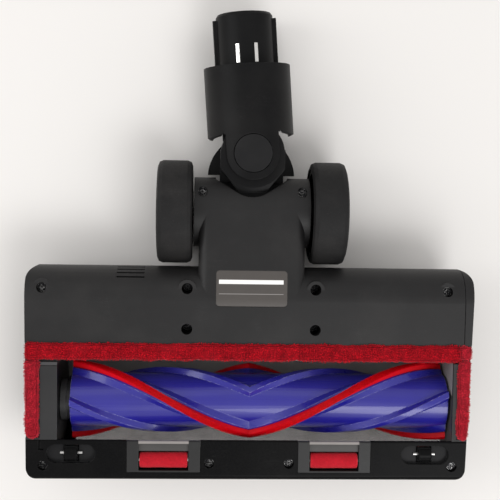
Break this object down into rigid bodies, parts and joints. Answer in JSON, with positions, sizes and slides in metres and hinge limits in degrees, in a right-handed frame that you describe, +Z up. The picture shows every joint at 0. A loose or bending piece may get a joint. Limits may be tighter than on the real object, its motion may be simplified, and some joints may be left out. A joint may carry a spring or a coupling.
{
  "type": "vacuum carpet brush",
  "caption": "Motorised vacuum floor head with a helical brush bar, plush edge strips, rear wheels and a swivelling, tilting neck that ends in a wand spigot.",
  "frame": {"origin": "centre of the footprint on the table, as the head lies on its back with the sole up", "axes": "+X across the head towards the removable end cap, +Y from the brush to the wand, +Z up through the sole"},
  "size_m": [0.2526, 0.266, 0.0592],
  "materials": {
    "black_shell": "fine-grained black ABS, satin",
    "black_gloss": "smooth black ABS, half gloss",
    "grey_cover": "dark grey satin plastic",
    "smoke_window": "clear smoke-tinted plastic",
    "red_plush": "short dense pile",
    "blue_bar": "deep blue, glossy",
    "red_bristle": "dense nylon filament row",
    "red_roller": "flocked roller",
    "black_tyre": "soft rubber, matt",
    "black_rubber": "toothed belt rubber",
    "steel": "plain steel",
    "contact_metal": "plated spring contact",
    "board_green": "circuit board",
    "rating_grey": "bare printed plate",
    "duct_grey": "inner duct moulding",
    "bearing_brass": "sintered bearing bush"
  },
  "bodies": {
    "head": {"bottom_shell": "black_shell", "top_shell": "black_shell", "brush_window": "smoke_window", "front_strip": "black_gloss", "drive_cover": "grey_cover", "air_duct": "duct_grey", "motor_can": "steel", "drive_belt": "black_rubber", "control_board": "board_green", "rear_plush": "red_plush", "left_plush": "red_plush", "rating_plate": "rating_grey", "roller_bracket_left": "grey_cover", "roller_bracket_right": "grey_cover", "roller_pins": "steel", "glide_pins": "steel", "wheel_axle_left": "steel", "wheel_axle_right": "steel", "rear_corner_screws": "steel", "deep_screws": "steel", "strip_screws": "steel", "arm_screws": "steel"},
    "right_cap": {"end_cap": "black_shell", "end_bearing": "bearing_brass", "cap_plush": "red_plush"},
    "lock": {"coin_lock": "grey_cover"},
    "brush": {"brush_bar": "blue_bar", "bristle_strip_a": "red_bristle", "bristle_strip_b": "red_bristle"},
    "hub": {"drive_hub": "black_gloss"},
    "rotor": {"motor_rotor": "steel"},
    "left_roller": {"roller_left": "red_roller"},
    "right_roller": {"roller_right": "red_roller"},
    "left_glide_wheel": {"glide_wheel_left": "black_gloss"},
    "right_glide_wheel": {"glide_wheel_right": "black_gloss"},
    "left_wheel": {"wheel_hub_left": "black_gloss", "wheel_tyre_left": "black_tyre"},
    "right_wheel": {"wheel_hub_right": "black_gloss", "wheel_tyre_right": "black_tyre"},
    "knuckle": {"knuckle_plate_shell": "black_shell", "knuckle_hood_shell": "black_shell"},
    "neck": {"collar": "black_shell", "pivot_cap_upper": "black_shell", "pivot_cap_lower": "black_shell", "spigot": "black_shell", "contact_springs": "contact_metal"}
  },
  "joints": [
    {"name": "end_cap_slide", "type": "slide", "parent": "head", "child": "right_cap", "axis": [1, 0, 0], "range_m": [0, 0.22]},
    {"name": "coin_lock_turn", "type": "hinge", "parent": "right_cap", "child": "lock", "pos_m": [0.125, -0.044, 0.034], "axis": [1, 0, 0], "range_deg": [0, 90]},
    {"name": "brush_spin", "type": "hinge", "parent": "right_cap", "child": "brush", "pos_m": [0, -0.091, 0.035], "axis": [1, 0, 0], "continuous": true},
    {"name": "hub_spin", "type": "hinge", "parent": "head", "child": "hub", "pos_m": [-0.115, -0.091, 0.035], "axis": [1, 0, 0], "continuous": true},
    {"name": "rotor_spin", "type": "hinge", "parent": "head", "child": "rotor", "pos_m": [-0.12, -0.0385, 0.037], "axis": [1, 0, 0], "continuous": true},
    {"name": "left_roller_spin", "type": "hinge", "parent": "head", "child": "left_roller", "pos_m": [-0.0483, -0.1219, 0.052], "axis": [1, 0, 0], "continuous": true},
    {"name": "right_roller_spin", "type": "hinge", "parent": "head", "child": "right_roller", "pos_m": [0.0483, -0.1219, 0.052], "axis": [1, 0, 0], "continuous": true},
    {"name": "left_glide_spin", "type": "hinge", "parent": "head", "child": "left_glide_wheel", "pos_m": [-0.1002, -0.118, 0.052], "axis": [1, 0, 0], "continuous": true},
    {"name": "right_glide_spin", "type": "hinge", "parent": "head", "child": "right_glide_wheel", "pos_m": [0.1002, -0.118, 0.052], "axis": [1, 0, 0], "continuous": true},
    {"name": "left_wheel_spin", "type": "hinge", "parent": "head", "child": "left_wheel", "pos_m": [-0.0439, 0.018, 0.0296], "axis": [1, 0, 0], "continuous": true},
    {"name": "right_wheel_spin", "type": "hinge", "parent": "head", "child": "right_wheel", "pos_m": [0.0439, 0.018, 0.0296], "axis": [1, 0, 0], "continuous": true},
    {"name": "neck_pitch", "type": "hinge", "parent": "head", "child": "knuckle", "pos_m": [0, 0.018, 0.0296], "axis": [-1, 0, 0], "range_deg": [0, 85]},
    {"name": "neck_yaw", "type": "hinge", "parent": "knuckle", "child": "neck", "pos_m": [0, 0.052, 0.0252], "axis": [0, 0, 1], "range_deg": [-49.2, 40.8]}
  ],
  "couplings": [
    {"joint": "hub_spin", "follows": "brush_spin", "ratio": 1},
    {"joint": "rotor_spin", "follows": "brush_spin", "ratio": 2.75}
  ]
}
